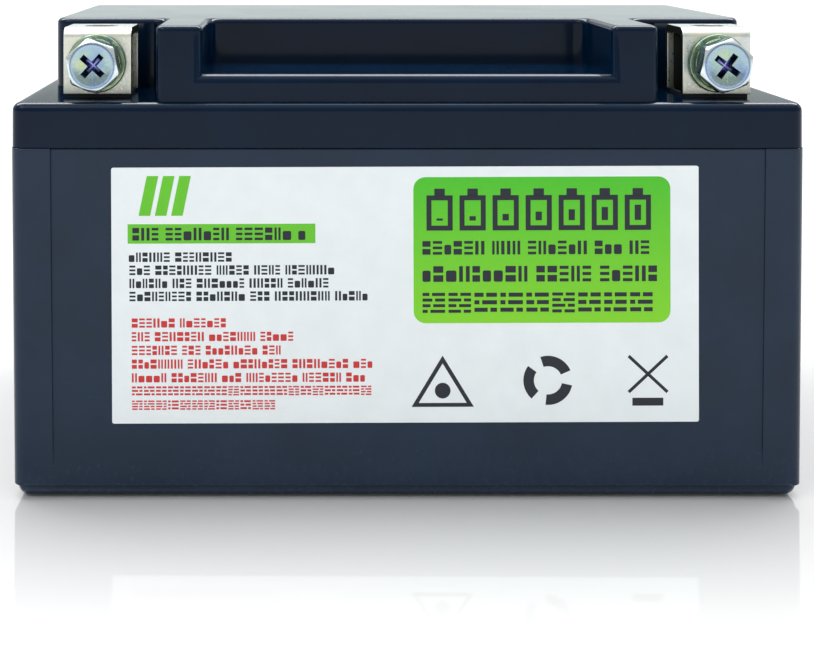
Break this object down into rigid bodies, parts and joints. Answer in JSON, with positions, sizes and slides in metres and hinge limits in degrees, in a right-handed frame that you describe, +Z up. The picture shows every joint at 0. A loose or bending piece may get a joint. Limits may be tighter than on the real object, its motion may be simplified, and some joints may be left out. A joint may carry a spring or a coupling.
{
  "type": "motorcycle battery",
  "caption": "Sealed box-shaped lithium starter battery with a glued lid, raised centre block, and two folded front terminals with hexagon bolts.",
  "frame": {"origin": "centre of the case's footprint, on the face that it stands on", "axes": "+Z up; the label and the terminals face -Y; +X to the right seen from the front, so the positive terminal is at -X"},
  "size_m": [0.1518, 0.087, 0.0902],
  "materials": {
    "case_plastic": "satin-gloss moulded navy-black plastic with a fine pebble",
    "lid_plastic": "glossy moulded navy-black plastic",
    "adhesive": "cured black adhesive",
    "label_film": "printed self-adhesive film, satin",
    "terminal_plate": "tin-plated brass, satin with a warm cream tone",
    "nut_metal": "tin-plated brass, dull",
    "zinc_bolt": "zinc plated with a pale blue-green passivation",
    "zinc_washer": "zinc plated with a yellow-green passivation",
    "seal_rubber": "matte black rubber",
    "foam": "black closed-cell foam",
    "insulation_sheet": "pale yellow insulating board",
    "nickel": "nickel strip",
    "holder_plastic": "black moulded plastic",
    "can_steel": "nickel-plated steel",
    "electrode_foil": "tightly wound coated foil",
    "gasket_plastic": "white insulating ring",
    "sleeve_film": "blue shrink sleeve",
    "tape": "glass-fibre tape",
    "circuit_board": "green solder mask on glass-fibre board",
    "nylon": "natural nylon",
    "small_steel": "zinc-plated steel",
    "component_black": "black moulded package",
    "thermal_silicone": "soft silicone pad",
    "spreader_aluminium": "extruded aluminium",
    "capacitor_can": "capacitor can",
    "red_silicone": "red silicone cable jacket",
    "black_silicone": "black silicone cable jacket",
    "solder": "solder"
  },
  "bodies": {
    "battery": {"case": "case_plastic", "lid": "lid_plastic", "lid_seal": "adhesive", "front_label": "label_film", "bottom_pad": "foam", "bottom_insulation_sheet": "insulation_sheet", "bottom_series_links": "nickel", "lower_cell_holder": "holder_plastic", "upper_cell_holder": "holder_plastic", "cell_cans": "can_steel", "cell_electrode_rolls": "electrode_foil", "cell_caps": "nickel", "cell_gaskets": "gasket_plastic", "cell_sleeves": "sleeve_film", "pack_tape": "tape", "positive_side_foam": "foam", "negative_side_foam": "foam", "positive_busbar": "nickel", "negative_busbar": "nickel", "top_series_link": "nickel", "top_insulation_sheet": "insulation_sheet", "bms_board": "circuit_board", "bms_standoffs": "nylon", "bms_screws": "small_steel", "bms_transistors": "component_black", "bms_thermal_pad": "thermal_silicone", "bms_heat_spreader": "spreader_aluminium", "bms_foam_pad": "foam", "bms_shunts": "component_black", "bms_chips": "component_black", "bms_capacitors": "capacitor_can", "balance_header": "nylon", "balance_plug": "nylon", "balance_wires": "black_silicone", "positive_lead": "red_silicone", "negative_lead": "black_silicone", "pack_negative_lead": "black_silicone", "solder_joints": "solder", "temperature_sensor": "black_silicone", "positive_terminal": "terminal_plate", "positive_nut_block": "nut_metal", "positive_terminal_seal": "seal_rubber", "negative_terminal": "terminal_plate", "negative_nut_block": "nut_metal", "negative_terminal_seal": "seal_rubber"},
    "positive_washers": {"positive_flat_washer": "zinc_washer", "positive_spring_washer": "zinc_washer"},
    "positive_screw": {"positive_bolt": "zinc_bolt"},
    "negative_washers": {"negative_flat_washer": "zinc_washer", "negative_spring_washer": "zinc_washer"},
    "negative_screw": {"negative_bolt": "zinc_bolt"}
  },
  "joints": [
    {"name": "positive_washers_travel", "type": "slide", "parent": "battery", "child": "positive_washers", "axis": [0, -1, 0], "range_m": [0, 0.009]},
    {"name": "positive_bolt_turn", "type": "hinge", "parent": "positive_washers", "child": "positive_screw", "pos_m": [-0.0605, -0.0345, 0.0824], "axis": [0, -1, 0], "range_deg": [0, 3240]},
    {"name": "negative_washers_travel", "type": "slide", "parent": "battery", "child": "negative_washers", "axis": [0, -1, 0], "range_m": [0, 0.009]},
    {"name": "negative_bolt_turn", "type": "hinge", "parent": "negative_washers", "child": "negative_screw", "pos_m": [0.0615, -0.0345, 0.0824], "axis": [0, -1, 0], "range_deg": [0, 3240]}
  ],
  "couplings": [
    {"joint": "positive_bolt_turn", "follows": "positive_washers_travel", "rad_per_m": 6283.2},
    {"joint": "negative_bolt_turn", "follows": "negative_washers_travel", "rad_per_m": 6283.2}
  ]
}
